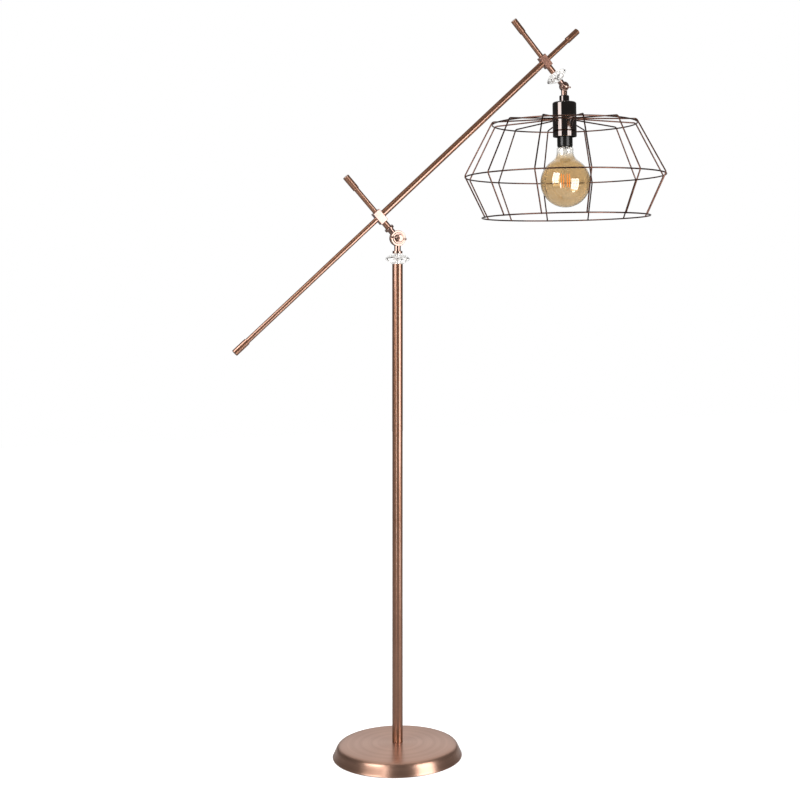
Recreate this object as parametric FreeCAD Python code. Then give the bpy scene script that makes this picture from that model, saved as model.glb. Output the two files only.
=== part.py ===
import FreeCAD, Part
import math
import os
from FreeCAD import Placement, Rotation, Vector

# Wire cage floor lamp: a weighted dome base, a two-piece pole, a square cross of rods that hangs
# on a tilting knuckle, and a wire cage shade with a globe bulb on a second knuckle.
# Millimetres, +Z up. The origin is on the floor at the pole's axis; the arm lies in the XZ plane
# and reaches towards +X. Both knuckles turn about Y, and their lock screws face -Y.

os.makedirs("parts", exist_ok=True)

# ---------------------------------------------------------------- driving dimensions
ARM_ANGLE = 42.3            # arm above the horizontal, degrees
HEAD_LEAN = 1.0             # cage leans this far from plumb, its foot towards +X

BASE_RADIUS = 151.5
BASE_TOP = 32.0             # top of the base at the pole
BASE_SHOULDER_TOP = 28.6    # height where the top turns over into the rim
BASE_GAP = 0.6              # the cover's lip clears the floor; the pad carries the lamp
COVER_WALL = 1.6
PAD_THICKNESS = 2.5
WEIGHT_RADIUS = 137.0
WEIGHT_TOP = 20.0
NUT_POCKET_RADIUS = 16.0
NUT_POCKET_TOP = 12.0
GROMMET_HEIGHT = 15.0       # cord outlet, at the back of the base

POLE_RADIUS = 12.5
POLE_WALL = 1.25
POLE_SEAM = 554.5
POLE_TOP = 1157.0
PLUG_LENGTH = 20.0
NIPPLE_LENGTH = 48.0
NIPPLE_IN_PLUG = 14.5

CRYSTAL_RADIUS = 28.5
CRYSTAL_HEIGHT = 24.2
CRYSTAL_SIDES = 12

KNUCKLE_HEIGHT = 1217.5     # lower knuckle's pin above the floor
KNUCKLE_TO_CROSS = 66.5     # lower pin to the lower cross block, square to the arm
CROSS_TO_CROSS = 586.5      # between the centres of the two blocks
CROSS_TO_HEAD = 79.0        # upper block to the head's pin, square to the arm
POLE_NECK = 29.8            # lower pin to the flange under it
MAST_NECK = 27.5            # and to the flange above it
FLANGE_HEIGHT = 6.5
LOWER_EAR_WIDTH = 6.6       # each ear's outer face, from the arm's plane
UPPER_EAR_WIDTH = 6.0
LOWER_PIN = 4.0             # radius of the lock screws' pins
UPPER_PIN = 3.0
LOWER_LOCK_ANGLE = 8.4      # how far each lock's bar is turned from level, degrees
UPPER_LOCK_ANGLE = 15.0
TAIL_REACH = 465.0          # lower block to the arm's lower end
TIP_REACH = 122.0           # upper block to the arm's upper end
MAST_REACH = 124.0          # lower block to the top of the mast
POST_REACH = 128.4          # upper block to the top of the head post

BLOCK_ALONG_ARM = 20.5
BLOCK_DEPTH = 16.0
BLOCK_ALONG_MAST = 32.5
HALF_BLOCK_X = BLOCK_ALONG_ARM / 2
HALF_BLOCK_Z = BLOCK_ALONG_MAST / 2
GRUB_PLACES = ((-7.6, 0.0), (7.6, 0.0), (0.0, -12.0), (0.0, 12.0))
UPPER_SLEEVE_END = 35.0     # below the upper block: the sleeve, then the crystal, then the neck
UPPER_NECK_END = UPPER_SLEEVE_END + CRYSTAL_HEIGHT
ROD_RADIUS = 6.25
TUBE_RADIUS = 8.15
TUBE_WALL = 1.5
SLEEVE_RADIUS = 7.6
CAP_RADIUS = 8.0
CAP_LENGTH = 39.0
STUD_RADIUS = 4.0
STUD_IN_ROD = 11.0
STUD_IN_SIDE = 5.0          # stud depth in the block's short way
STUD_IN_END = 9.0           # and in its long way

CUP_RADIUS = 29.8
CUP_WALL = 1.4
COLLAR_TOP = -22.5          # heights in the head are measured down from its pin
CUP_TOP = -38.6
CUP_BOTTOM = -125.7
HOLDER_BOTTOM = -151.8
HOLDER_RADIUS = 19.4
BULB_CENTRE = -238.7
BULB_RADIUS = 62.5
STRIP_TOP = -217.5
STRIP_BOTTOM = -251.0
STRIP_CIRCLE = 11.0         # radius of the circle on which the four strips stand
STRIP_RADIUS = 1.1
STRIP_PHASE = -4.0

WIRE_RADIUS = 1.8
RIB_COUNT = 12
RIB_PHASE = 16.0            # first rib's bearing from +X, degrees
HUB_HEIGHT = -81.6
RING_TOP = (180.6, -91.8)   # radius and height where the ribs cross each ring
RING_MID = (251.5, -223.1)
RING_BOTTOM = (204.4, -323.2)

FIT = 0.05                  # radial clearance of a screw or spigot in its hole
UP = Vector(0, 0, 1)
FRONT = Vector(0, -1, 0)
BACK = Vector(0, 1, 0)
ORIGIN = Vector(0, 0, 0)


# ---------------------------------------------------------------- helpers
def turned(start, *steps):
    """A turned piece about local Z: lines to (r, z) and arcs through (r, z) to (r, z)."""
    first = Vector(start[0], 0, start[1])
    here = first
    edges = []
    for step in steps:
        there = Vector(step[-2], 0, step[-1])
        if len(step) == 4:
            edges.append(Part.Arc(here, Vector(step[0], 0, step[1]), there).toShape())
        else:
            edges.append(Part.makeLine(here, there))
        here = there
    edges.append(Part.makeLine(here, first))
    solid = Part.Face(Part.Wire(edges)).revolve(ORIGIN, UP, 360)
    return outward(solid)


def outward(solid):
    """The same solid with its faces pointing outwards."""
    if solid.Volume < 0:
        solid.reverse()
    return solid


def bar(radius, low, high, bore=0.0, edge=0.0):
    """A round bar or tube along local Z, with small bevels on its outer edges."""
    steps = [(radius - edge, low)]
    if edge:
        steps.append((radius, low + edge))
    steps.append((radius, high - edge))
    if edge:
        steps.append((radius - edge, high))
    steps.append((bore, high))
    return turned((bore, low), *steps)


def rounded_disc(radius, low, high, edge, bore=0.0):
    """A disc along local Z whose two outer edges are quarter rounds."""
    slack = edge * (1 - math.sqrt(0.5))
    return turned(
        (bore, low),
        (radius - edge, low),
        (radius - slack, low + slack, radius, low + edge),
        (radius, high - edge),
        (radius - slack, high - slack, radius - edge, high),
        (bore, high),
    )


def hex_prism(across_flats, low, high):
    """A plain hexagonal bar along local Z."""
    corner = across_flats / math.sqrt(3)
    points = []
    for side in range(7):
        angle = math.radians(60 * side)
        points.append(Vector(corner * math.cos(angle), corner * math.sin(angle), low))
    return Part.Face(Part.makePolygon(points)).extrude(Vector(0, 0, high - low))


def hex_nut(across_flats, low, high, bore):
    """A hexagonal nut along local Z, bevelled at its corners."""
    corner = across_flats / math.sqrt(3)
    bevel = turned((0, low), (corner - 1.2, low), (corner + 0.4, low + 1.0),
                   (corner + 0.4, high - 1.0), (corner - 1.2, high), (0, high))
    return hex_prism(across_flats, low, high).common(bevel).cut(bar(bore, low - 1, high + 1))


def place(shape, origin=ORIGIN, direction=UP):
    """Stand a piece made along local Z at a point, along a direction."""
    moved = shape.copy()
    moved.Placement = Placement(origin, Rotation(UP, direction)).multiply(moved.Placement)
    return moved


def turn(shape, axis, angle):
    """Turn a piece about an axis through its origin."""
    moved = shape.copy()
    moved.Placement = Placement(ORIGIN, Rotation(axis, angle)).multiply(moved.Placement)
    return moved


def in_frame(shape, frame):
    """Carry a piece from the arm's or the head's own frame to the lamp's."""
    moved = shape.copy()
    moved.Placement = frame.multiply(moved.Placement)
    return moved


def save(name, *solids, frame=Placement()):
    """Write one piece, or a group of alike pieces, as parts/NAME.step."""
    placed = [in_frame(solid, frame) for solid in solids]
    for solid in placed:
        if not solid.isValid() or solid.Volume <= 0:
            raise ValueError("not a closed solid: " + name)
    shape = placed[0] if len(placed) == 1 else Part.makeCompound(placed)
    shape.exportStep("parts/" + name + ".step")


# The arm's own frame: X along the arm, Z along the mast and the head post, which are square to
# it, origin at the lower cross block. The head's own frame: Z up its axis, origin at its pin.
TO_ARM = Rotation(BACK, -ARM_ANGLE)
KNUCKLE = Vector(0, 0, KNUCKLE_HEIGHT)
ARM_FRAME = Placement(KNUCKLE + TO_ARM.multVec(Vector(0, 0, KNUCKLE_TO_CROSS)), TO_ARM)
UPPER_CROSS = Vector(CROSS_TO_CROSS, 0, 0)
HEAD_PIN_IN_ARM = Vector(CROSS_TO_CROSS, 0, -CROSS_TO_HEAD)
HEAD_FRAME = Placement(ARM_FRAME.multVec(HEAD_PIN_IN_ARM), Rotation(BACK, -HEAD_LEAN))


# ---------------------------------------------------------------- base
def dome(inset):
    """The base's outline as a solid, or the space inside a wall of that thickness."""
    rim = BASE_RADIUS - inset
    lip = max(BASE_GAP + 1.4 - inset, BASE_GAP + 0.1)
    top = BASE_TOP - inset
    shoulder = BASE_SHOULDER_TOP - inset
    return turned(
        (0, BASE_GAP),
        (rim, BASE_GAP),
        (rim, lip),
        (rim - 5.9, 6.3, rim - 8.0, 13.0),
        (rim - 8.9, 18.6),
        (rim - 12.9, shoulder - 2.9, rim - 21.0, shoulder),
        (14.0, top),
        (0, top),
    )


def make_base():
    hole = place(bar(4.5, 0, 30), Vector(0, 130, GROMMET_HEIGHT), BACK)
    cover = dome(0).cut(dome(COVER_WALL)).cut(bar(5.2, 0, 60)).cut(hole)
    save("base_cover", cover)
    grommet = turned((3.3, -3.4), (5.9, -3.4), (5.9, 5.2), (4.7, 6.4), (3.3, 6.4))
    seat = Vector(0, BASE_RADIUS - 8.4 - COVER_WALL, GROMMET_HEIGHT)
    save("cord_grommet", place(grommet, seat, BACK).cut(cover))

    boss_top = BASE_TOP - COVER_WALL
    weight = turned(
        (5.3, NUT_POCKET_TOP),
        (NUT_POCKET_RADIUS, NUT_POCKET_TOP),
        (NUT_POCKET_RADIUS, PAD_THICKNESS),
        (WEIGHT_RADIUS, PAD_THICKNESS),
        (WEIGHT_RADIUS + 1.5, 5.0),
        (WEIGHT_RADIUS, 17.5),
        (WEIGHT_RADIUS - 2.5, WEIGHT_TOP),
        (42.0, WEIGHT_TOP),
        (34.0, WEIGHT_TOP + 2.2, 28.0, boss_top - 2.0),
        (13.5, boss_top),
        (5.3, boss_top),
    )
    channel = Part.makeBox(9, WEIGHT_RADIUS + 5, 13, Vector(-4.5, 0, PAD_THICKNESS))
    channel = channel.cut(bar(NUT_POCKET_RADIUS - 1, 0, 30))
    save("base_weight", weight.cut(channel))

    save("base_pad", bar(WEIGHT_RADIUS, 0, PAD_THICKNESS))
    save("base_washer", bar(11.0, NUT_POCKET_TOP - 2, NUT_POCKET_TOP, bore=5.3, edge=0.3))
    save("base_nut", hex_nut(17.0, 3.2, NUT_POCKET_TOP - 2, 5.0 + FIT))
    nipple = bar(5.0, 0, NIPPLE_LENGTH, bore=3.4, edge=0.4)
    upper_nipple_foot = Vector(0, 0, POLE_TOP - NIPPLE_IN_PLUG)
    save("stand_nipples", place(nipple, Vector(0, 0, 2.8)), place(nipple, upper_nipple_foot))


# ---------------------------------------------------------------- pole
def make_pole():
    inside = POLE_RADIUS - POLE_WALL
    plug = inside - FIT
    save("pole_lower", bar(POLE_RADIUS, BASE_TOP, POLE_SEAM, bore=inside, edge=0.5))
    save("pole_coupling", bar(plug, POLE_SEAM - 35, POLE_SEAM + 35, bore=8.5, edge=0.5))
    save("pole_upper", bar(POLE_RADIUS, POLE_SEAM, POLE_TOP, bore=inside, edge=0.5))
    end_plug = bar(plug, 0, PLUG_LENGTH, bore=5.0 + FIT)
    at_foot = Vector(0, 0, BASE_TOP)
    at_top = Vector(0, 0, POLE_TOP - PLUG_LENGTH)
    save("pole_plugs", place(end_plug, at_foot), place(end_plug, at_top))


# ---------------------------------------------------------------- cut crystals
def triangle(a, b, c):
    return Part.Face(Part.makePolygon([a, b, c, a]))


def cut_crystal(bore):
    """A faceted lens: rings of corners, each half a step round from the last, joined by facets."""
    levels = [
        (12.6, 0.0),
        (18.0, 3.4),
        (CRYSTAL_RADIUS, 10.2),
        (CRYSTAL_RADIUS, 13.4),
        (18.6, 20.4),
        (11.6, CRYSTAL_HEIGHT),
    ]
    step = 2 * math.pi / CRYSTAL_SIDES
    rings = []
    for level, (radius, height) in enumerate(levels):
        start = step / 2 * (level % 2)
        ring = []
        for side in range(CRYSTAL_SIDES):
            angle = start + step * side
            ring.append(Vector(radius * math.cos(angle), radius * math.sin(angle), height))
        rings.append(ring)

    faces = [Part.Face(Part.makePolygon(rings[0] + rings[0][:1]))]
    faces.append(Part.Face(Part.makePolygon(rings[-1] + rings[-1][:1])))
    for level in range(len(levels) - 1):
        below = rings[level]
        above = rings[level + 1]
        ahead = 1 - level % 2
        for side in range(CRYSTAL_SIDES):
            following = (side + 1) % CRYSTAL_SIDES
            if ahead:
                faces.append(triangle(below[side], below[following], above[side]))
                faces.append(triangle(above[side], below[following], above[following]))
            else:
                faces.append(triangle(below[side], above[following], above[side]))
                faces.append(triangle(below[side], below[following], above[following]))
    lens = outward(Part.makeSolid(Part.makeShell(faces)))
    return lens.cut(bar(bore, -1, CRYSTAL_HEIGHT + 1))


# ---------------------------------------------------------------- knuckles
def knuckle_half(ear, half_width, neck, length, foot, foot_height, pin, nipple):
    """Half of a lapped swivel: the ear on the -Y side of the pin's centre, the neck towards -Z."""
    gap = 0.5
    disc = rounded_disc(ear, gap, half_width, 0.9)
    half = place(disc, direction=FRONT)
    stem = bar(neck, -length, -ear * 0.4)
    # the neck is cut back where the other ear sweeps, and level with its own ear's face
    sweep = place(bar(ear + 0.6, -30, gap), direction=FRONT)
    face = place(bar(ear - 0.7, half_width, 30), direction=FRONT)
    half = half.fuse(stem.cut(sweep).cut(face))
    if foot:
        half = half.fuse(rounded_disc(foot, -length - foot_height, -length, 1.2))
    half = half.removeSplitter()
    half = half.cut(place(bar(pin + FIT, -30, 30), direction=FRONT))
    return half.cut(bar(nipple + FIT, -length - foot_height - 1, -ear - 1))


def lower_half(length, nipple):
    return knuckle_half(ear=18.5, half_width=LOWER_EAR_WIDTH, neck=7.7, length=length, foot=11.75,
                        foot_height=FLANGE_HEIGHT, pin=LOWER_PIN, nipple=nipple)


def upper_half(length):
    return knuckle_half(ear=11.4, half_width=UPPER_EAR_WIDTH, neck=SLEEVE_RADIUS, length=length,
                        foot=0, foot_height=0, pin=UPPER_PIN, nipple=STUD_RADIUS)


def lock_screw(cup_face, head_face, head_radius, pin, reach, bar_radius, bar_depth):
    """The clamping screw of a knuckle, along local Z towards the user, drilled for its bar."""
    screw = turned(
        (0, -reach),
        (pin - 0.6, -reach),
        (pin, 0.6 - reach),
        (pin, cup_face),
        (head_radius - 1.0, cup_face),
        (head_radius, cup_face + 1.0),
        (head_radius, head_face - 2.0),
        (head_radius - 0.6, head_face - 0.6, head_radius - 2.0, head_face),
        (0, head_face + 0.6),
    )
    hole = place(bar(bar_radius + FIT, -30, 30), Vector(0, 0, bar_depth), Vector(1, 0, 0))
    return screw.cut(hole)


def tommy_bar(radius, half_length, ball, depth, angle):
    """The cross bar of a lock screw with its two ball ends, as three solids."""
    neck = half_length - ball * 1.3
    rod = bar(radius, -neck, neck, edge=0.2)
    pieces = [rod]
    for end in (-1, 1):
        centre = Vector(0, 0, end * (half_length - ball))
        pieces.append(Part.makeSphere(ball, centre).cut(rod))
    placed = []
    for piece in pieces:
        lying = place(piece, Vector(0, 0, depth), Vector(1, 0, 0))
        placed.append(turn(place(lying, direction=FRONT), BACK, angle))
    return placed


def friction_washer(radius, bore):
    return place(bar(radius, -0.45, 0.5, bore=bore), direction=FRONT)


def lock_cup(radius, low, high, bore, recess):
    """The dished washer under a lock screw's head, which sits in its recess."""
    dish = turned(
        (bore, low),
        (radius - 0.8, low),
        (radius, low + 0.8),
        (radius, high - 0.9),
        (radius - 0.9, high),
        (recess + 0.7, high),
        (recess, high - 0.7),
        (bore, high - 0.7),
    )
    return place(dish, direction=FRONT)


def make_lower_knuckle():
    at_pin = Placement(KNUCKLE, Rotation())
    save("lower_knuckle_ear", lower_half(POLE_NECK, 5.0), frame=at_pin)
    pin_hole = LOWER_PIN + 0.3
    bar_radius = 1.8
    bar_depth = 13.2
    save("lower_friction_washer", friction_washer(radius=14.0, bore=pin_hole), frame=at_pin)
    cup = lock_cup(radius=13.8, low=LOWER_EAR_WIDTH, high=9.6, bore=pin_hole, recess=10.2)
    save("lower_lock_cup", cup, frame=at_pin)
    screw = lock_screw(cup_face=8.95, head_face=17.4, head_radius=8.8, pin=LOWER_PIN, reach=6.4,
                       bar_radius=bar_radius, bar_depth=bar_depth)
    screw = turn(place(screw, direction=FRONT), BACK, LOWER_LOCK_ANGLE)
    save("lower_lock_screw", screw, frame=at_pin)
    pieces = tommy_bar(bar_radius, half_length=18.2, ball=2.7, depth=bar_depth,
                       angle=LOWER_LOCK_ANGLE)
    save("lower_lock_bar", *pieces, frame=at_pin)

    crystal = place(cut_crystal(5.3), Vector(0, 0, POLE_TOP))
    save("lower_crystal", crystal)


def make_upper_knuckle():
    at_pin = Placement(HEAD_PIN_IN_ARM, Rotation())
    neck_length = CROSS_TO_HEAD - UPPER_NECK_END
    ear = turn(upper_half(neck_length), BACK, 180)
    frame = ARM_FRAME.multiply(at_pin)
    save("upper_knuckle_ear", ear, frame=frame)
    pin_hole = UPPER_PIN + 0.3
    bar_radius = 1.4
    bar_depth = 10.9
    save("upper_friction_washer", friction_washer(radius=9.0, bore=pin_hole), frame=frame)
    cup = lock_cup(radius=8.6, low=UPPER_EAR_WIDTH, high=8.0, bore=pin_hole, recess=5.9)
    save("upper_lock_cup", cup, frame=frame)
    upright = Placement(HEAD_FRAME.Base, Rotation())
    screw = lock_screw(cup_face=7.35, head_face=13.9, head_radius=5.4, pin=UPPER_PIN, reach=5.8,
                       bar_radius=bar_radius, bar_depth=bar_depth)
    screw = turn(place(screw, direction=FRONT), BACK, UPPER_LOCK_ANGLE)
    save("upper_lock_screw", screw, frame=upright)
    pieces = tommy_bar(bar_radius, half_length=14.0, ball=2.2, depth=bar_depth,
                       angle=UPPER_LOCK_ANGLE)
    save("upper_lock_bar", *pieces, frame=upright)

    foot = Vector(CROSS_TO_CROSS, 0, -UPPER_NECK_END)
    save("upper_crystal", place(cut_crystal(4.3), foot), frame=ARM_FRAME)
    nipple = bar(STUD_RADIUS, -UPPER_NECK_END - 6.5, -UPPER_SLEEVE_END + 8, bore=2.5, edge=0.3)
    save("upper_nipple", place(nipple, UPPER_CROSS), frame=ARM_FRAME)


# ---------------------------------------------------------------- arm, mast and head post

def stud_hole(face, depth, direction):
    return place(bar(STUD_RADIUS + FIT, -depth, 5), face, direction)


def cross_block(cord_side):
    """A square cross block, drilled from four sides; the cord turns a corner inside it."""
    corner = Vector(-HALF_BLOCK_X, -BLOCK_DEPTH / 2, -HALF_BLOCK_Z)
    block = Part.makeBox(BLOCK_ALONG_ARM, BLOCK_DEPTH, BLOCK_ALONG_MAST, corner)
    block = block.makeChamfer(0.9, block.Edges)
    for side in (-1, 1):
        across = Vector(side, 0, 0)
        along = Vector(0, 0, side)
        block = block.cut(stud_hole(across * HALF_BLOCK_X, STUD_IN_SIDE, across))
        block = block.cut(stud_hole(along * HALF_BLOCK_Z, STUD_IN_END, along))
    block = block.cut(place(bar(2.5, 0, HALF_BLOCK_X), direction=Vector(cord_side, 0, 0)))
    block = block.cut(place(bar(2.8, -2.8, HALF_BLOCK_Z), direction=-UP))
    for x, z in GRUB_PLACES:
        block = block.cut(place(bar(2.0 + FIT, 3.9, 9), Vector(x, 0, z), BACK))
    return block


def grub_screw(x, z):
    socket = hex_prism(2.0, 6.2, 9.0)
    screw = bar(2.0, 4.15, 7.6, edge=0.3).cut(socket)
    return place(screw, Vector(x, 0, z), BACK)


def rod_with_cap(start, reach):
    """A rod from a block's face, and the plain sleeve cap pressed over its far end."""
    rod = bar(ROD_RADIUS, start, reach - 5.0, edge=0.4).cut(
        bar(STUD_RADIUS + FIT, start - 1, start + STUD_IN_ROD))
    inner = reach - CAP_LENGTH
    cap = turned(
        (ROD_RADIUS + FIT, inner),
        (CAP_RADIUS - 0.9, inner),
        (CAP_RADIUS, inner + 0.9),
        (CAP_RADIUS, inner + 2.6),
        (CAP_RADIUS - 0.5, inner + 3.1),
        (CAP_RADIUS - 0.5, inner + 3.9),
        (CAP_RADIUS, inner + 4.4),
        (CAP_RADIUS, reach - 1.0),
        (CAP_RADIUS - 0.3, reach - 0.3, CAP_RADIUS - 1.0, reach),
        (0, reach),
        (0, reach - 4.9),
        (ROD_RADIUS + FIT, reach - 4.9),
    )
    return rod, cap


def stud(face, direction, in_block, in_rod):
    """A hollow stud that screws a rod to a block's face."""
    return place(bar(STUD_RADIUS, 0.1 - in_block, in_rod, bore=2.5, edge=0.3), face, direction)


def make_arm():
    mast_half = turn(lower_half(MAST_NECK, STUD_RADIUS), Vector(1, 0, 0), 180)
    save("mast_ear", place(mast_half, Vector(0, 0, -KNUCKLE_TO_CROSS)), frame=ARM_FRAME)
    mast_foot = KNUCKLE_TO_CROSS - MAST_NECK - FLANGE_HEIGHT
    bore = STUD_RADIUS + FIT
    sleeve = bar(SLEEVE_RADIUS, -mast_foot, -HALF_BLOCK_Z, bore=bore, edge=0.4)
    save("mast_sleeve", sleeve, frame=ARM_FRAME)

    along = Vector(1, 0, 0)
    save("lower_cross_block", cross_block(1), frame=ARM_FRAME)
    save("upper_cross_block", place(cross_block(-1), UPPER_CROSS), frame=ARM_FRAME)

    rod, cap = rod_with_cap(HALF_BLOCK_Z, MAST_REACH)
    save("mast_rod", rod, frame=ARM_FRAME)
    save("mast_cap", cap, frame=ARM_FRAME)
    rod, cap = rod_with_cap(HALF_BLOCK_Z, POST_REACH)
    save("head_post_rod", place(rod, UPPER_CROSS), frame=ARM_FRAME)
    save("head_post_cap", place(cap, UPPER_CROSS), frame=ARM_FRAME)
    rod, cap = rod_with_cap(HALF_BLOCK_X, TAIL_REACH)
    save("arm_tail_rod", place(rod, direction=-along), frame=ARM_FRAME)
    save("arm_tail_cap", place(cap, direction=-along), frame=ARM_FRAME)
    rod, cap = rod_with_cap(HALF_BLOCK_X, TIP_REACH)
    save("arm_tip_rod", place(rod, UPPER_CROSS, along), frame=ARM_FRAME)
    save("arm_tip_cap", place(cap, UPPER_CROSS, along), frame=ARM_FRAME)

    near = HALF_BLOCK_X
    far = CROSS_TO_CROSS - HALF_BLOCK_X
    inside = TUBE_RADIUS - TUBE_WALL
    tube = bar(TUBE_RADIUS, near, far, bore=inside, edge=0.5)
    save("arm_tube", place(tube, direction=along), frame=ARM_FRAME)
    plugs = []
    for low, high in ((near + 0.5, near + 15), (far - 15, far - 0.5)):
        plugs.append(place(bar(inside - FIT, low, high, bore=STUD_RADIUS + FIT), direction=along))
    save("arm_tube_plugs", *plugs, frame=ARM_FRAME)

    sleeve = bar(SLEEVE_RADIUS, -UPPER_SLEEVE_END, -HALF_BLOCK_Z, bore=bore, edge=0.4)
    save("head_sleeve", place(sleeve, UPPER_CROSS), frame=ARM_FRAME)

    # each stud screws a rod, or the sleeve below the block, to one side of a block
    studs = []
    grubs = []
    through_mast = mast_foot - HALF_BLOCK_Z + 12.0
    into_head_sleeve = UPPER_SLEEVE_END - HALF_BLOCK_Z - 8.5
    for block, below in ((ORIGIN, through_mast), (UPPER_CROSS, into_head_sleeve)):
        for side in (-1, 1):
            across = Vector(side, 0, 0)
            studs.append(stud(block + across * HALF_BLOCK_X, across, STUD_IN_SIDE, STUD_IN_ROD - 0.5))
        above = block + UP * HALF_BLOCK_Z
        studs.append(stud(above, UP, STUD_IN_END, STUD_IN_ROD - 0.5))
        studs.append(stud(block - UP * HALF_BLOCK_Z, -UP, STUD_IN_END, below))
        for x, z in GRUB_PLACES:
            grubs.append(place(grub_screw(x, z), block))
    save("cross_studs", *studs, frame=ARM_FRAME)
    save("grub_screws", *grubs, frame=ARM_FRAME)


# ---------------------------------------------------------------- lampholder
def make_lampholder():
    head_half = turn(upper_half(-COLLAR_TOP), UP, 180)
    save("head_ear", head_half, frame=HEAD_FRAME)
    nipple = bar(STUD_RADIUS, -62.0, COLLAR_TOP + 9, bore=2.5, edge=0.3)
    save("head_nipple", nipple, frame=HEAD_FRAME)

    bore = STUD_RADIUS + FIT
    collar = turned(
        (bore, CUP_TOP),
        (12.0, CUP_TOP),
        (12.3, CUP_TOP + 0.3),
        (12.3, COLLAR_TOP - 2.4),
        (11.6, COLLAR_TOP - 0.7, 9.9, COLLAR_TOP),
        (bore, COLLAR_TOP),
    )
    save("holder_collar", collar, frame=HEAD_FRAME)

    inner = CUP_RADIUS - CUP_WALL
    cup = turned(
        (bore, CUP_TOP),
        (CUP_RADIUS - 5.0, CUP_TOP),
        (CUP_RADIUS - 1.5, CUP_TOP - 1.5, CUP_RADIUS, CUP_TOP - 5.0),
        (CUP_RADIUS, CUP_BOTTOM + 0.5),
        (CUP_RADIUS - 0.5, CUP_BOTTOM),
        (inner + 0.4, CUP_BOTTOM),
        (inner, CUP_BOTTOM + 0.4),
        (inner, CUP_TOP - 5.0),
        (inner - 1.1, CUP_TOP - 2.5, inner - 3.6, CUP_TOP - CUP_WALL),
        (bore, CUP_TOP - CUP_WALL),
    )
    save("holder_cup", cup, frame=HEAD_FRAME)
    nut_top = CUP_TOP - CUP_WALL
    save("holder_nut", hex_nut(14.0, nut_top - 4.0, nut_top, STUD_RADIUS + FIT), frame=HEAD_FRAME)

    body = turned(
        (bore, -50.0),
        (9.0, -50.0),
        (15.5, -56.0),
        (15.5, -101.0),
        (HOLDER_RADIUS, -105.0),
        (HOLDER_RADIUS, HOLDER_BOTTOM + 3.5),
        (HOLDER_RADIUS - 1.6, HOLDER_BOTTOM),
        (15.2, HOLDER_BOTTOM),
        (15.2, -114.0),
        (5.0, -114.0),
        (5.0, -66.0),
        (bore, -66.0),
    )
    save("lampholder", body, frame=HEAD_FRAME)
    shell = turned((13.25, HOLDER_BOTTOM + 4.0), (14.0, HOLDER_BOTTOM + 4.0), (14.0, -114.0),
                   (6.5, -114.0), (6.5, -114.8), (13.25, -114.8))
    save("screw_shell", shell, frame=HEAD_FRAME)
    contact = turned((0, -125.3), (3.2, -125.3), (3.8, -124.5), (3.8, -123.3), (1.8, -122.1),
                     (1.8, -113.8), (4.9, -113.8), (4.9, -112.6), (0, -112.6))
    save("centre_contact", contact, frame=HEAD_FRAME)


# ---------------------------------------------------------------- cage shade
def bent_wire(points, bend, radius):
    """A round wire along straight runs, with a true bend at each inner point."""
    edges = []
    here = points[0]
    for before, corner, after in zip(points, points[1:], points[2:]):
        back = (before - corner).normalize()
        ahead = (after - corner).normalize()
        half = back.getAngle(ahead) / 2
        reach = bend / math.tan(half)
        start = corner + back * reach
        end = corner + ahead * reach
        middle = corner + (back + ahead).normalize() * (bend / math.sin(half) - bend)
        edges.append(Part.makeLine(here, start))
        edges.append(Part.Arc(start, middle, end).toShape())
        here = end
    edges.append(Part.makeLine(here, points[-1]))
    path = Part.Wire(edges)
    section = Part.Wire(Part.makeCircle(radius, points[0], points[1] - points[0]))
    return outward(path.makePipeShell([section], True, False))


def bend_seat(before, corner, after, bend, depth):
    """Where a ring lies inside a bend, that deep behind the bent wire's centre line."""
    back = (before - corner).normalize()
    ahead = (after - corner).normalize()
    half = back.getAngle(ahead) / 2
    return corner + (back + ahead).normalize() * (bend / math.sin(half) - bend + depth)


def make_cage():
    bend = 8.0
    weld = 2 * WIRE_RADIUS - 0.15
    hub_radius = CUP_RADIUS + WIRE_RADIUS + 0.02
    inner = Vector(hub_radius + WIRE_RADIUS - 0.2, 0, HUB_HEIGHT)
    top = Vector(RING_TOP[0] + 2.2, 0, RING_TOP[1] + 1.8)
    middle = Vector(RING_MID[0] + 2.8, 0, RING_MID[1])
    foot = Vector(RING_BOTTOM[0] + 1.7, 0, RING_BOTTOM[1])
    end = foot + (foot - middle).normalize() * 3.0

    rib = bent_wire([inner, top, middle, end], bend, WIRE_RADIUS)
    ribs = []
    for number in range(RIB_COUNT):
        ribs.append(turn(rib, UP, RIB_PHASE + 360 / RIB_COUNT * number))
    save("cage_ribs", *ribs, frame=HEAD_FRAME)

    def ring(radius, height):
        return Part.makeTorus(radius, WIRE_RADIUS, Vector(0, 0, height), UP)

    seat = bend_seat(inner, top, middle, bend, weld)
    save("cage_ring_top", ring(seat.x, seat.z), frame=HEAD_FRAME)
    seat = bend_seat(top, middle, end, bend, weld)
    save("cage_ring_mid", ring(seat.x, seat.z), frame=HEAD_FRAME)
    inward = (foot - middle).normalize().cross(BACK)
    seat = foot + inward * weld
    save("cage_ring_bottom", ring(seat.x, seat.z), frame=HEAD_FRAME)
    save("cage_hub", ring(hub_radius, HUB_HEIGHT), frame=HEAD_FRAME)


# ---------------------------------------------------------------- bulb
NECK_TOP = HOLDER_BOTTOM - 0.9


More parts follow.
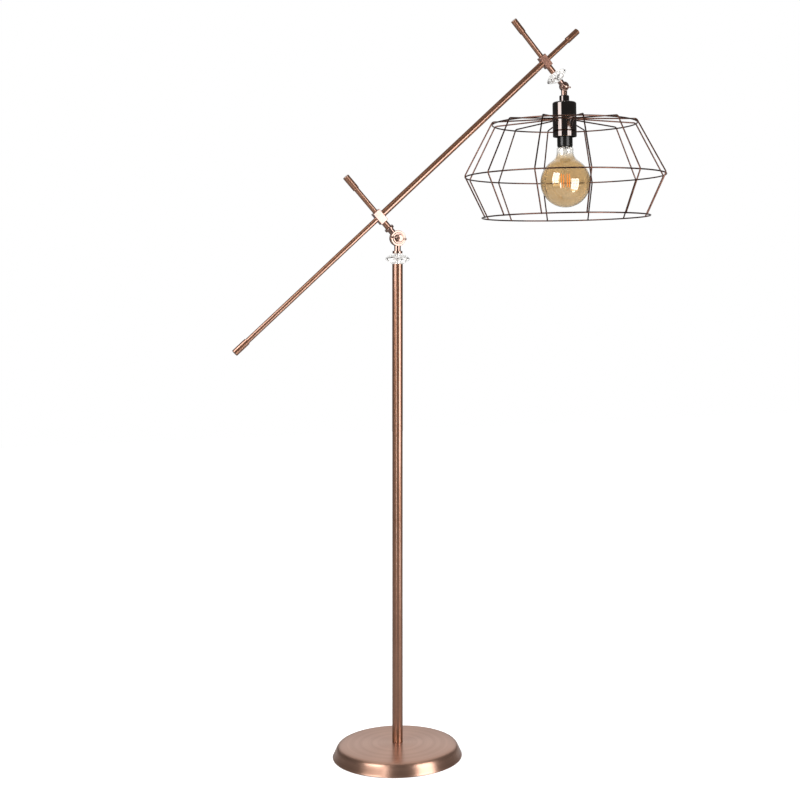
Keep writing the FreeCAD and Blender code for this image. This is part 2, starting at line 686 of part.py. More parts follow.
def globe(inset):
    """The bulb's outline: a short straight neck that flares into the globe."""
    top = NECK_TOP - inset
    neck = 20.6 - inset
    sphere = BULB_RADIUS - inset
    # the flare is an arc that leaves the neck straight and meets the globe's side smoothly
    flare_low = 34.0 - inset
    meet = BULB_CENTRE + math.sqrt(sphere ** 2 - flare_low ** 2)
    throat = NECK_TOP - 7.0
    bend_r = neck + (flare_low - neck) * 0.3
    bend_z = throat + (meet - throat) * 0.62
    return turned(
        (0, top),
        (neck - 3.0, top),
        (neck - 0.9, top - 0.9, neck, top - 3.0),
        (neck, throat),
        (bend_r, bend_z, flare_low, meet),
        (sphere, BULB_CENTRE, 0, BULB_CENTRE - sphere),
    )


def make_bulb():
    opening = bar(10.5, NECK_TOP - 5, NECK_TOP + 5)
    glass = globe(0).cut(globe(0.9)).cut(opening)
    save("bulb_glass", glass, frame=HEAD_FRAME)

    # the screw cap, with its rolled thread as a row of rounded ridges
    crest = 13.15
    root = 12.15
    pitch = 3.6
    thread_bottom = NECK_TOP + 5.2
    steps = [(crest, NECK_TOP), (crest, NECK_TOP + 3.4), (root, thread_bottom)]
    for ridge in range(5):
        low = thread_bottom + pitch * ridge
        steps.append((crest, low + pitch / 2, root, low + pitch))
    cap_top = NECK_TOP + 24.6
    steps += [(9.6, cap_top), (5.6, cap_top + 1.4), (4.6, cap_top + 2.6), (0, cap_top + 2.6),
              (0, cap_top - 4.0), (8.4, cap_top - 4.0), (10.4, NECK_TOP + 18.0), (10.4, NECK_TOP)]
    save("bulb_cap", turned((crest - 0.4, NECK_TOP), *steps), frame=HEAD_FRAME)

    # the stem: a flare sealed into the neck, a pinched bead, and a thin rod with an end bead
    bead_top = STRIP_TOP + 21.0
    rod_end = STRIP_BOTTOM - 6.0
    stem = turned(
        (0, NECK_TOP + 6),
        (9.8, NECK_TOP + 6),
        (8.0, NECK_TOP - 4.0, 4.6, NECK_TOP - 16),
        (4.4, bead_top),
        (3.8, bead_top - 5.0),
        (1.3, bead_top - 8.0),
        (1.3, rod_end + 3.0),
        (2.2, rod_end + 2.2),
        (2.2, rod_end + 0.8),
        (1.4, rod_end),
        (0, rod_end),
    )
    save("bulb_stem", stem, frame=HEAD_FRAME)

    # four upright strips, held above and below by wires from the stem's two beads
    strips = []
    wires = []
    top = Vector(STRIP_CIRCLE, 0, STRIP_TOP)
    bottom = Vector(STRIP_CIRCLE, 0, STRIP_BOTTOM)
    high_root = Vector(2.0, 0, bead_top - 6.0)
    low_root = Vector(1.2, 0, rod_end + 1.5)
    for number in range(4):
        bearing = STRIP_PHASE + 90 * number
        strip = place(bar(STRIP_RADIUS, STRIP_BOTTOM, STRIP_TOP, edge=0.3), Vector(STRIP_CIRCLE, 0, 0))
        strips.append(turn(strip, UP, bearing))
        for root, end in ((high_root, top), (low_root, bottom)):
            wire = place(bar(0.35, 0, (end - root).Length), root, end - root).cut(stem)
            wires.append(turn(wire.cut(strip), UP, bearing))
    save("bulb_filaments", *strips, frame=HEAD_FRAME)
    save("bulb_wires", *wires, frame=HEAD_FRAME)


make_base()
make_pole()
make_lower_knuckle()
make_arm()
make_upper_knuckle()
make_lampholder()
make_cage()
make_bulb()
print("pieces written:", len(os.listdir("parts")))
print("lower block at", ARM_FRAME.Base)
print("head pin at", HEAD_FRAME.Base)
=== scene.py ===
# %% [markdown]
# # A wire cage floor lamp in antique copper
# The lamp stands on a heavy spun base. A plain pole carries a knuckle, the knuckle carries a
# square cross of rods, and a second knuckle carries a wire cage with an amber globe bulb.
# The mechanical parts come in as a fixed frame, and this lesson gives them their finishes and
# adds the pieces that need a smoother or finer shape than the frame has.

# %% Load the frame
import math
import bmesh
import bpy
from mathutils import Matrix, Vector


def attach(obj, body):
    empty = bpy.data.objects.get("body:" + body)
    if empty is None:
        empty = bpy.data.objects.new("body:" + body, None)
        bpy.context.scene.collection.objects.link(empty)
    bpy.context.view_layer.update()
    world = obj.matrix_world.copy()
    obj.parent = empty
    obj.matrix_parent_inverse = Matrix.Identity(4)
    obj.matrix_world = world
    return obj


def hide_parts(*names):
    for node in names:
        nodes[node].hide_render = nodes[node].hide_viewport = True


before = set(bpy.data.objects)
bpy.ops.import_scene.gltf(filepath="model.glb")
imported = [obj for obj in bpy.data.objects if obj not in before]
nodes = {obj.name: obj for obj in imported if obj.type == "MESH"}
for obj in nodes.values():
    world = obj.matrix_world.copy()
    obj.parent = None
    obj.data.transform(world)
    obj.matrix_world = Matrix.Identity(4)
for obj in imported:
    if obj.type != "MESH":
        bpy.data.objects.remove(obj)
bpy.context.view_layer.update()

# %% [markdown]
# ## The camera
# The photograph was taken from about three metres away, a little below the knuckles, and turned
# some 24 degrees from square to the arm. A level camera keeps the pole's sides parallel, so the
# lens is shifted to frame the whole lamp instead of being tipped.

# %% Place the camera
TURN = math.radians(24.31)
LEVEL = math.radians(90)
CAMERA_SPOT = (-1.1233, -2.9810, 1.0879)
LENS_MM = 60.75
SENSOR_MM = 36
SHIFT_ACROSS = -0.1049
SHIFT_UP = -0.1334
bpy.ops.object.camera_add(location=CAMERA_SPOT, rotation=(LEVEL, 0, -TURN))
camera = bpy.context.object
camera.name = "studio_camera"
camera.data.lens = LENS_MM
camera.data.sensor_width = SENSOR_MM
camera.data.shift_x = SHIFT_ACROSS
camera.data.shift_y = SHIFT_UP
bpy.context.scene.camera = camera
bpy.context.scene.view_settings.view_transform = "Standard"
print("camera", tuple(round(v, 3) for v in camera.location), "lens", camera.data.lens)

# %% [markdown]
# ## Node helpers
# Every finish below is a small tree of nodes around one Principled shader. These helpers make a
# material, add a node with its settings, and join two sockets, so that each finish reads as a
# short recipe. Most of a noise's values lie between 0.3 and 0.7, so that range is spread over
# whatever the noise drives.

# %% Helpers for materials
NOISE_LOW = 0.3
NOISE_HIGH = 0.7
ACROSS_THE_LINES = 0.25


def new_finish(name):
    material = bpy.data.materials.new(name)
    material.use_nodes = True
    tree = material.node_tree
    shader = tree.nodes["Principled BSDF"]
    return material, tree, shader


def add_node(tree, kind, values=None, **settings):
    node = tree.nodes.new(kind)
    for key, value in settings.items():
        setattr(node, key, value)
    for key, value in (values or {}).items():
        node.inputs[key].default_value = value
    return node


def join(tree, source, socket_out, target, socket_in):
    tree.links.new(source.outputs[socket_out], target.inputs[socket_in])


def pattern_space(tree, turn_y=0.0, scale=(1, 1, 1)):
    """Object coordinates, turned about Y and then stretched."""
    coords = add_node(tree, "ShaderNodeTexCoord")
    turned = add_node(tree, "ShaderNodeMapping", {
        "Rotation": (0, math.radians(turn_y), 0)})
    join(tree, coords, "Object", turned, "Vector")
    stretched = add_node(tree, "ShaderNodeMapping", {"Scale": scale})
    join(tree, turned, "Vector", stretched, "Vector")
    return stretched


def noise(tree, scale, detail=2.0, turn_y=0.0, **more):
    """A noise whose grain is 1/scale metres along each of three axes."""
    place = pattern_space(tree, turn_y, scale if isinstance(scale, tuple) else (scale,) * 3)
    grain = add_node(tree, "ShaderNodeTexNoise", {"Scale": 1.0, "Detail": detail, **more})
    join(tree, place, "Vector", grain, "Vector")
    return grain


def ramp(tree, source, socket_out, stops):
    """A colour ramp over a value, from (position, colour) stops."""
    node = add_node(tree, "ShaderNodeValToRGB")
    elements = node.color_ramp.elements
    while len(elements) < len(stops):
        elements.new(0.5)
    for element, (position, colour) in zip(elements, stops):
        element.position = position
        element.color = (*colour, 1)
    join(tree, source, socket_out, node, "Fac")
    return node


def spread(tree, source, socket_out, low, high, from_low=0.0, from_high=1.0):
    """A value carried from one range to another."""
    node = add_node(tree, "ShaderNodeMapRange", {
        "From Min": from_low, "From Max": from_high, "To Min": low, "To Max": high})
    join(tree, source, socket_out, node, "Value")
    return node


def two_tone(tree, shader, source, low, high):
    """A base colour that drifts between two tones with a noise."""
    colour = ramp(tree, source, "Fac", [(NOISE_LOW, low), (NOISE_HIGH, high)])
    join(tree, colour, "Color", shader, "Base Color")
    return colour


def vary_roughness(tree, shader, source, low, high):
    """A roughness that drifts between two values with a noise."""
    value = spread(tree, source, "Fac", low, high, NOISE_LOW, NOISE_HIGH)
    join(tree, value, "Result", shader, "Roughness")


def bump(tree, shader, source, distance, strength):
    """Relief from a noise, a distance high in metres."""
    node = add_node(tree, "ShaderNodeBump", {"Distance": distance, "Strength": strength})
    join(tree, source, "Fac", node, "Height")
    join(tree, node, "Normal", shader, "Normal")


def brush_round(tree, shader, axis, through, amount):
    """Lines brushed round an axis: a quarter turn draws the shine out across them."""
    coords = add_node(tree, "ShaderNodeTexCoord")
    from_axis = add_node(tree, "ShaderNodeVectorMath", operation="SUBTRACT")
    join(tree, coords, "Object", from_axis, 0)
    from_axis.inputs[1].default_value = through
    across = add_node(tree, "ShaderNodeVectorMath", operation="CROSS_PRODUCT")
    across.inputs[0].default_value = axis
    join(tree, from_axis, "Vector", across, 1)
    along = add_node(tree, "ShaderNodeVectorMath", operation="NORMALIZE")
    join(tree, across, "Vector", along, 0)
    to_world = add_node(tree, "ShaderNodeVectorTransform", vector_type="VECTOR",
                        convert_from="OBJECT", convert_to="WORLD")
    join(tree, along, "Vector", to_world, "Vector")
    join(tree, to_world, "Vector", shader, "Tangent")
    shader.inputs["Anisotropic"].default_value = amount
    shader.inputs["Anisotropic Rotation"].default_value = ACROSS_THE_LINES


def set_shader(shader, **values):
    for key, value in values.items():
        shader.inputs[key.replace("_", " ")].default_value = value


def paint(material, *names):
    for name in names:
        data = nodes[name].data
        data.materials.clear()
        data.materials.append(material)


print("helpers ready")

# %% [markdown]
# ## Brushed copper on the rods
# The tubes are plated with antique copper and brushed as they turn, so the finest lines run
# round them and draw the light out along their length. A noise stretched flat across the rod
# makes the lines. A second, slow noise makes the colour drift that hand-brushed plating has. The
# arm, the mast and the head post lean, so each gets the same recipe turned to its direction.

# %% Brushed copper for straight rods
ARM_LEAN = 42.3
LEAN = math.radians(ARM_LEAN)
ALONG_ARM = (math.cos(LEAN), 0, math.sin(LEAN))
SQUARE_TO_ARM = (-math.sin(LEAN), 0, math.cos(LEAN))
LOWER_CROSS = (-0.044755, 0.0, 1.266685)
UPPER_CROSS = (0.389040, 0.0, 1.661405)
UPRIGHT = (0, 0, 1)
POLE_FOOT = (0, 0, 0)
ROD_BRUSHING = 0.65
LINES_SHARE = 0.3


def brushed_copper(name, turn_y, axis, through, light, dark):
    material, tree, shader = new_finish(name)
    set_shader(shader, Metallic=0.82, Coat_Weight=1.0, Coat_Roughness=0.16, Coat_IOR=1.75)
    brush_round(tree, shader, axis, through, ROD_BRUSHING)
    lines = noise(tree, (30, 30, 1800), detail=3.0, turn_y=turn_y, Roughness=0.6)
    drift = noise(tree, (14, 14, 5), detail=3.0, turn_y=turn_y, Roughness=0.5)
    tone = add_node(tree, "ShaderNodeMix", data_type="FLOAT")
    tone.inputs["Factor"].default_value = LINES_SHARE
    join(tree, drift, "Fac", tone, "A")
    join(tree, lines, "Fac", tone, "B")
    colour = ramp(tree, tone, "Result", [(0.34, dark), (0.62, light)])
    join(tree, colour, "Color", shader, "Base Color")
    vary_roughness(tree, shader, lines, 0.27, 0.35)
    return material


COPPER_LIGHT = (0.40, 0.185, 0.105)
COPPER_DARK = (0.32, 0.14, 0.075)
pole_copper = brushed_copper("pole_copper", 0, UPRIGHT, POLE_FOOT, COPPER_LIGHT, COPPER_DARK)
arm_copper = brushed_copper("arm_copper", 90 - ARM_LEAN, ALONG_ARM, LOWER_CROSS,
                            COPPER_LIGHT, COPPER_DARK)
mast_copper = brushed_copper("mast_copper", -ARM_LEAN, SQUARE_TO_ARM, LOWER_CROSS,
                             COPPER_LIGHT, COPPER_DARK)
post_copper = brushed_copper("post_copper", -ARM_LEAN, SQUARE_TO_ARM, UPPER_CROSS,
                             COPPER_LIGHT, COPPER_DARK)

paint(pole_copper, "pole_lower", "pole_upper")
paint(arm_copper, "arm_tube", "arm_tail_rod", "arm_tail_cap", "arm_tip_rod", "arm_tip_cap")
paint(mast_copper, "mast_sleeve", "mast_rod", "mast_cap")
paint(post_copper, "head_sleeve", "head_post_rod", "head_post_cap")
print("copper on the pole, the arm and the mast")

# %% [markdown]
# ## Small turned and milled copper parts
# The cross blocks, knuckles, cups and lock screws are milled or turned and lacquered. Their flat
# faces act as soft mirrors, so they are smoother than the rods, and their fine grain has no
# direction. The upper block gets a painted-light copy of this copper, lighter and rougher, so its
# face shows an even painted brown where it would otherwise reflect the dark room.

# %% Satin copper for small parts
def satin_copper(name, light, dark, rough):
    material, tree, shader = new_finish(name)
    set_shader(shader, Metallic=0.9, Coat_Weight=1.0, Coat_Roughness=0.1, Coat_IOR=1.9)
    grain = noise(tree, 300, detail=3.0)
    cloud = noise(tree, 60)
    colour = ramp(tree, cloud, "Fac", [(0.35, dark), (0.65, light)])
    join(tree, colour, "Color", shader, "Base Color")
    vary_roughness(tree, shader, grain, rough - 0.03, rough + 0.03)
    return material


block_copper = satin_copper("block_copper", (0.36, 0.20, 0.15), (0.30, 0.16, 0.12), 0.20)
knuckle_copper = satin_copper("knuckle_copper", (0.36, 0.20, 0.14), (0.26, 0.13, 0.09), 0.18)
# Painted light: the upper block is painted a lighter copper than the lower block, so that it reads
# as lit brown.
UPPER_BLOCK_PAINTED_LIT_HIGH = (0.56, 0.29, 0.21)
UPPER_BLOCK_PAINTED_LIT_LOW = (0.46, 0.22, 0.155)
upper_block_painted_lit_copper = satin_copper("upper_block_painted_lit_copper", UPPER_BLOCK_PAINTED_LIT_HIGH, UPPER_BLOCK_PAINTED_LIT_LOW, 0.34)
paint(block_copper, "lower_cross_block")
paint(upper_block_painted_lit_copper, "upper_cross_block")
paint(knuckle_copper, "lower_knuckle_ear", "mast_ear", "lower_lock_cup", "lower_lock_screw",
      "lower_lock_bar", "upper_knuckle_ear", "upper_lock_cup", "upper_lock_screw",
      "upper_lock_bar", "head_ear")
print("copper on the blocks and knuckles")

# %% [markdown]
# ## The spun base
# The base is brushed on a lathe, so its lines are circles about the pole. Circular brushing
# smears each lamp's reflection into a pair of wedges that point at the middle. The helper for
# brushed lines does this with the upright axis through the pole's foot. The tones drift with the
# distance from the pole, which draws faint rings.

# %% Circular brushing
LATHE_BRUSHING = 0.72
FINE_RINGS_SHARE = 0.4


def spun_copper(name, light, dark):
    material, tree, shader = new_finish(name)
    set_shader(shader, Metallic=0.95, Coat_Weight=0.5, Coat_Roughness=0.22, Coat_IOR=1.5)
    brush_round(tree, shader, UPRIGHT, POLE_FOOT, LATHE_BRUSHING)
    coords = add_node(tree, "ShaderNodeTexCoord")
    flat = add_node(tree, "ShaderNodeVectorMath", operation="MULTIPLY")
    flat.inputs[1].default_value = (1, 1, 0)
    join(tree, coords, "Object", flat, 0)
    radius = add_node(tree, "ShaderNodeVectorMath", operation="LENGTH")
    join(tree, flat, "Vector", radius, 0)
    split = add_node(tree, "ShaderNodeSeparateXYZ")
    join(tree, coords, "Object", split, "Vector")
    ring_place = add_node(tree, "ShaderNodeCombineXYZ")
    join(tree, radius, "Value", ring_place, "X")
    join(tree, split, "Z", ring_place, "Y")
    fine_rings = add_node(tree, "ShaderNodeTexNoise", {
        "Scale": 1500.0, "Detail": 4.0, "Roughness": 0.7})
    join(tree, ring_place, "Vector", fine_rings, "Vector")
    broad_rings = add_node(tree, "ShaderNodeTexNoise", {
        "Scale": 90.0, "Detail": 3.0, "Roughness": 0.6})
    join(tree, ring_place, "Vector", broad_rings, "Vector")
    tone = add_node(tree, "ShaderNodeMix", data_type="FLOAT")
    tone.inputs["Factor"].default_value = FINE_RINGS_SHARE
    join(tree, broad_rings, "Fac", tone, "A")
    join(tree, fine_rings, "Fac", tone, "B")
    colour = ramp(tree, tone, "Result", [(0.36, dark), (0.62, light)])
    join(tree, colour, "Color", shader, "Base Color")
    vary_roughness(tree, shader, fine_rings, 0.30, 0.38)
    bump(tree, shader, fine_rings, 0.00002, 0.2)
    return material


base_copper = spun_copper("base_copper", (0.68, 0.40, 0.29), (0.57, 0.32, 0.225))
paint(base_copper, "base_cover")
print("copper on the base")

# %% [markdown]
# ## The dark bronze cup, the cage wire and the black lampholder
# The cup and its collar are polished and lacquered to a dark bronze, close to a mirror. The cage
# wire has the same plating over a drawn, slightly uneven wire. The lampholder is moulded black
# plastic with a faint orange-peel surface.

# %% Bronze, wire and plastic
def dark_bronze(name):
    material, tree, shader = new_finish(name)
    set_shader(shader, Metallic=1.0, Coat_Weight=1.0, Coat_Roughness=0.03, Coat_IOR=2.2)
    cloud = noise(tree, 25)
    two_tone(tree, shader, cloud, (0.040, 0.016, 0.008), (0.065, 0.028, 0.015))
    vary_roughness(tree, shader, cloud, 0.05, 0.09)
    return material


def plated_wire(name):
    material, tree, shader = new_finish(name)
    set_shader(shader, Metallic=1.0, Coat_Weight=0.3, Coat_Roughness=0.15)
    spots = noise(tree, 110, detail=4.0)
    colour = ramp(tree, spots, "Fac", [
        (0.32, (0.10, 0.042, 0.028)), (0.68, (0.20, 0.095, 0.066))])
    join(tree, colour, "Color", shader, "Base Color")
    vary_roughness(tree, shader, spots, 0.20, 0.34)
    bump(tree, shader, spots, 0.00008, 0.3)
    return material


def moulded_plastic(name, colour_low, colour_high, rough):
    material, tree, shader = new_finish(name)
    peel = noise(tree, 700)
    two_tone(tree, shader, peel, colour_low, colour_high)
    vary_roughness(tree, shader, peel, rough - 0.06, rough + 0.06)
    bump(tree, shader, peel, 0.00008, 0.35)
    return material


bronze = dark_bronze("bronze_polished")
wire_finish = plated_wire("cage_wire")
paint(bronze, "holder_cup", "holder_collar")
paint(wire_finish, "cage_ribs", "cage_hub", "cage_ring_top", "cage_ring_mid", "cage_ring_bottom")
paint(moulded_plastic("holder_black", (0.004, 0.004, 0.0035), (0.010, 0.010, 0.009), 0.20),
      "lampholder")
paint(moulded_plastic("fibre_brown", (0.16, 0.08, 0.04), (0.26, 0.14, 0.08), 0.7),
      "lower_friction_washer", "upper_friction_washer")
paint(moulded_plastic("rubber_black", (0.012, 0.012, 0.012), (0.03, 0.03, 0.03), 0.6),
      "cord_grommet")
print("bronze, wire, plastic, fibre and rubber done")

# %% [markdown]
# ## The hidden hardware
# Nuts, studs and nipples are zinc-plated steel with a faint bluish cast. The weight under the
# base is rough cast iron in black paint, and the pad under it is matted felt, whose fibres are a
# noise pulled in two directions.

# %% Zinc, brass, iron and felt
def plated_steel(name, low, high, rough):
    material, tree, shader = new_finish(name)
    set_shader(shader, Metallic=1.0)
    stain = noise(tree, 160, detail=4.0)
    two_tone(tree, shader, stain, low, high)
    vary_roughness(tree, shader, stain, rough - 0.06, rough + 0.08)
    return material


zinc = plated_steel("zinc_plate", (0.50, 0.51, 0.53), (0.66, 0.67, 0.68), 0.3)
brass = plated_steel("brass_plain", (0.60, 0.40, 0.15), (0.74, 0.53, 0.24), 0.25)
nickel = plated_steel("cap_nickel", (0.60, 0.59, 0.56), (0.75, 0.74, 0.71), 0.18)
paint(zinc, "base_nut", "base_washer", "stand_nipples", "pole_coupling", "pole_plugs",
      "arm_tube_plugs", "cross_studs", "grub_screws", "upper_nipple", "head_nipple",
      "holder_nut", "bulb_wires")
paint(brass, "screw_shell", "centre_contact")
paint(nickel, "bulb_cap")


def cast_iron(name):
    material, tree, shader = new_finish(name)
    sand = noise(tree, 420, detail=5.0, Roughness=0.7)
    two_tone(tree, shader, sand, (0.012, 0.012, 0.013), (0.045, 0.043, 0.041))
    vary_roughness(tree, shader, sand, 0.45, 0.7)
    bump(tree, shader, sand, 0.0005, 0.6)
    return material


def felt(name):
    material, tree, shader = new_finish(name)
    set_shader(shader, Roughness=0.95, Sheen_Weight=0.4, Sheen_Roughness=0.5)
    fibre = noise(tree, (900, 220, 300), detail=5.0, Distortion=2.0)
    two_tone(tree, shader, fibre, (0.008, 0.008, 0.009), (0.035, 0.034, 0.036))
    bump(tree, shader, fibre, 0.0008, 0.7)
    return material


paint(cast_iron("weight_iron"), "base_weight")
paint(felt("felt_black"), "base_pad")
print("hidden hardware done")

# %% [markdown]
# ## Cut crystal
# The two crystals are clear glass cut in flat facets. The facets and the bending of light make
# them sparkle, and a faint cream cast drifts through the glass, so the shader stays simple and
# the flat faces of the frame are kept as they are.

# %% Crystal
def clear_crystal(name):
    material, tree, shader = new_finish(name)
    set_shader(shader, IOR=1.56, Transmission_Weight=1.0)
    film = noise(tree, 80)
    two_tone(tree, shader, film, (0.88, 0.86, 0.83), (0.95, 0.935, 0.91))
    vary_roughness(tree, shader, film, 0.0, 0.02)
    return material


paint(clear_crystal("cut_crystal"), "lower_crystal", "upper_crystal")
print("crystals done")

# %% [markdown]
# ## Helpers for shaping
# The two pieces below are drawn from a primitive in edit mode. A primitive is opened with nothing
# selected, its edges or faces are picked by place, and a loop is drawn up ring by ring: each step
# extrudes the loop and then grows or shrinks it about the axis.

# %% Helpers for shapes
def fresh(operator, **settings):
    """Deselect everything, add a primitive and open it in edit mode with nothing selected."""
    bpy.ops.object.select_all(action="DESELECT")
    operator(**settings)
    piece = bpy.context.object
    bpy.ops.object.mode_set(mode="EDIT")
    bpy.ops.mesh.select_all(action="DESELECT")
    return piece


def pick(piece, kind, test):
    """Select the piece's vertices, edges or faces whose middle passes a test."""
    bpy.ops.mesh.select_mode(type=kind)
    mesh = bmesh.from_edit_mesh(piece.data)
    for element in {"VERT": mesh.verts, "EDGE": mesh.edges, "FACE": mesh.faces}[kind]:
        if kind == "VERT":
            middle = element.co
        elif kind == "EDGE":
            middle = (element.verts[0].co + element.verts[1].co) / 2
        else:
            middle = element.calc_center_median()
        element.select_set(test(middle))
    mesh.select_flush_mode()
    bmesh.update_edit_mesh(piece.data)


def raise_rings(rings, radius, height):
    """Draw the selected loop from one radius and height through (radius, height) rings."""
    for next_radius, next_height in rings:
        bpy.ops.mesh.extrude_region_move(
            TRANSFORM_OT_translate={"value": (0, 0, next_height - height)})
        grow = next_radius / radius
        bpy.ops.transform.resize(value=(grow, grow, 1), center_override=(0, 0, next_height))
        radius, height = next_radius, next_height


def face_outwards_and_freeze():
    """Turn the normals outwards, leave edit mode and put the object's place into its mesh."""
    bpy.ops.mesh.select_all(action="SELECT")
    bpy.ops.mesh.normals_make_consistent(inside=False)
    bpy.ops.object.mode_set(mode="OBJECT")
    bpy.ops.object.transform_apply(location=True, rotation=True, scale=True)


def thicken(piece, wall):
    """Give a sheet its thickness, inwards from the surface."""
    bpy.ops.object.modifier_add(type="SOLIDIFY")
    piece.modifiers[-1].thickness = wall
    piece.modifiers[-1].offset = -1
    bpy.ops.object.modifier_apply(modifier=piece.modifiers[-1].name)


print("shaping helpers ready")

# %% [markdown]
# ## The amber globe
# The frame's bulb is a turned solid with a coarse skin. The real one is blown glass: a smooth
# globe that flares up into a short straight neck, with a thin even wall. Here it is made from a
# sphere. Its top is cut away by deleting faces, the open edge is drawn up ring by ring along the
# flare and the neck, and a solidify modifier gives the wall its thickness.

# %% Blow the globe
HEAD_PIN = Vector((0.4422063, 0.0, 1.6029765))
HEAD_LEAN = math.radians(-1.0)
HEAD_PLACE = Matrix.Translation(HEAD_PIN) @ Matrix.Rotation(HEAD_LEAN, 4, "Y")
GLOBE_RADIUS = 0.0625
GLOBE_CENTRE = -0.2387
NECK_RADIUS = 0.0206
NECK_EDGE = -0.1527
NECK_THROAT = -0.1597
FLARE_LOW = 0.034
FLARE_STEPS = 14
FLARE_PULL = 0.42
GLASS_WALL = 0.0009
RIM_MARGIN = 0.0002
NECK_RINGS = [
    (NECK_RADIUS, NECK_EDGE - 0.0025), (NECK_RADIUS - 0.0005, NECK_EDGE - 0.0009),
    (NECK_RADIUS - 0.0016, NECK_EDGE), (NECK_RADIUS - 0.0075, NECK_EDGE)]


def flare_rings(steps):
    """Radius and height of rings up the flare, an arc that ends straight up at the throat."""
    meet = GLOBE_CENTRE + math.sqrt(GLOBE_RADIUS ** 2 - FLARE_LOW ** 2)
    low = Vector((FLARE_LOW, meet))
    high = Vector((NECK_RADIUS, NECK_THROAT))
    along_globe = Vector((-(meet - GLOBE_CENTRE), FLARE_LOW)).normalized()
    reach = (high - low).length * FLARE_PULL
    first = low + along_globe * reach
    second = high - Vector((0, reach))
    rings = []
    for step in range(1, steps + 1):
        t = step / steps
        ring = (low * (1 - t) ** 3 + first * 3 * t * (1 - t) ** 2
                + second * 3 * t * t * (1 - t) + high * t ** 3)
        rings.append((ring.x, ring.y))
    return rings


def blow_globe():
    globe = fresh(bpy.ops.mesh.primitive_uv_sphere_add, segments=96, ring_count=72,
                  radius=GLOBE_RADIUS, location=(0, 0, GLOBE_CENTRE))
    cut = math.sqrt(GLOBE_RADIUS ** 2 - FLARE_LOW ** 2)
    pick(globe, "FACE", lambda middle: middle.z > cut)
    bpy.ops.mesh.delete(type="FACE")
    mesh = bmesh.from_edit_mesh(globe.data)
    rim_height = max(vert.co.z for vert in mesh.verts)
    pick(globe, "EDGE", lambda middle: middle.z > rim_height - RIM_MARGIN)
    rim_radius = math.sqrt(GLOBE_RADIUS ** 2 - rim_height ** 2)
    raise_rings(flare_rings(FLARE_STEPS) + NECK_RINGS, rim_radius, GLOBE_CENTRE + rim_height)
    face_outwards_and_freeze()
    thicken(globe, GLASS_WALL)
    bpy.ops.object.shade_smooth()
    globe.matrix_world = HEAD_PLACE
    bpy.ops.object.transform_apply(location=True, rotation=True, scale=True)
    globe.name = "globe_glass"
    return globe


globe_glass = blow_globe()
print("globe:", len(globe_glass.data.polygons), "faces")

# %% [markdown]
# ## The spun cover, drawn again
# The photograph shows the cover's side falling almost straight from a tight shoulder to the rim,
# with no hollow. So the cover is drawn again from a circle, ring by ring from the rim up, with
# more segments than the frame has. Its rings keep inside the frame's box, and a solidify modifier
# gives the sheet its thickness.

# %% Spin the cover
COVER_RIM = 0.1515
SHEET = 0.0016
COVER_SEGMENTS = 144
SHARP_EDGE = math.radians(40)
COVER_RINGS = [
    (0.0, 0.0006), (0.0, 0.0016), (-0.0006, 0.0024), (-0.0016, 0.0042), (-0.0036, 0.0088),
    (-0.0058, 0.0138), (-0.0078, 0.0184), (-0.0092, 0.0212), (-0.0108, 0.0237),
    (-0.0130, 0.0257), (-0.0160, 0.0272), (-0.0200, 0.0283), (-0.0260, 0.0289),
    (-0.0500, 0.0296), (-0.0900, 0.0308), (-0.1375, 0.0320), (-0.1463, 0.0320)]


def spin_cover():
    rings = [(COVER_RIM + inset, height) for inset, height in COVER_RINGS]
    radius, height = rings[0]
    cover = fresh(bpy.ops.mesh.primitive_circle_add, vertices=COVER_SEGMENTS, radius=radius,
                  fill_type="NOTHING", location=(0, 0, height))
    pick(cover, "EDGE", lambda middle: True)
    raise_rings(rings[1:], radius, height)
    face_outwards_and_freeze()
    top = max(cover.data.polygons, key=lambda face: face.center.z)
    if top.normal.z < 0:
        cover.data.flip_normals()
    thicken(cover, SHEET)
    bpy.ops.object.shade_smooth_by_angle(angle=SHARP_EDGE)
    cover.name = "spun_cover"
    return cover


spun_cover = spin_cover()
spun_cover.data.materials.append(base_copper)
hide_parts("base_cover")
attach(spun_cover, "stand")
print("cover:", len(spun_cover.data.polygons), "faces")

# %% [markdown]
# ## Amber glass, clear glass and filaments
# The globe's amber tint fades out at the neck, where the glass is clear and shows the stem. Slow
# waves in the glass bend what is seen through it a little. The filament strips are coated in a
# grainy orange phosphor, and a faint painted glow is laid over them.

# %% Glass for the bulb
TINT_ENDS = HEAD_PIN.z - 0.186
CLEAR_FROM = HEAD_PIN.z - 0.163
CLEAR_GLASS = (0.985, 0.975, 0.95, 1)
# Painted glow: the filament strips emit a faint orange light of their own.
PAINTED_PHOSPHOR_GLOW = 0.9


def bulb_amber(name):
    material, tree, shader = new_finish(name)
    set_shader(shader, IOR=1.47, Transmission_Weight=1.0, Coat_Weight=1.0, Coat_Roughness=0.0,
               Coat_IOR=1.8)
    coords = add_node(tree, "ShaderNodeTexCoord")
    split = add_node(tree, "ShaderNodeSeparateXYZ")
    join(tree, coords, "Object", split, "Vector")
    fade = spread(tree, split, "Z", 0.0, 1.0, TINT_ENDS, CLEAR_FROM)
    waves = noise(tree, 16)
    amber = ramp(tree, waves, "Fac", [
        (NOISE_LOW, (0.74, 0.58, 0.36)), (NOISE_HIGH, (0.81, 0.66, 0.44))])
    tint = add_node(tree, "ShaderNodeMix", data_type="RGBA")
    tint.inputs["B"].default_value = CLEAR_GLASS
    join(tree, fade, "Result", tint, "Factor")
    join(tree, amber, "Color", tint, "A")
    join(tree, tint, "Result", shader, "Base Color")
    vary_roughness(tree, shader, waves, 0.0, 0.015)
    bump(tree, shader, waves, 0.0004, 0.25)
    return material


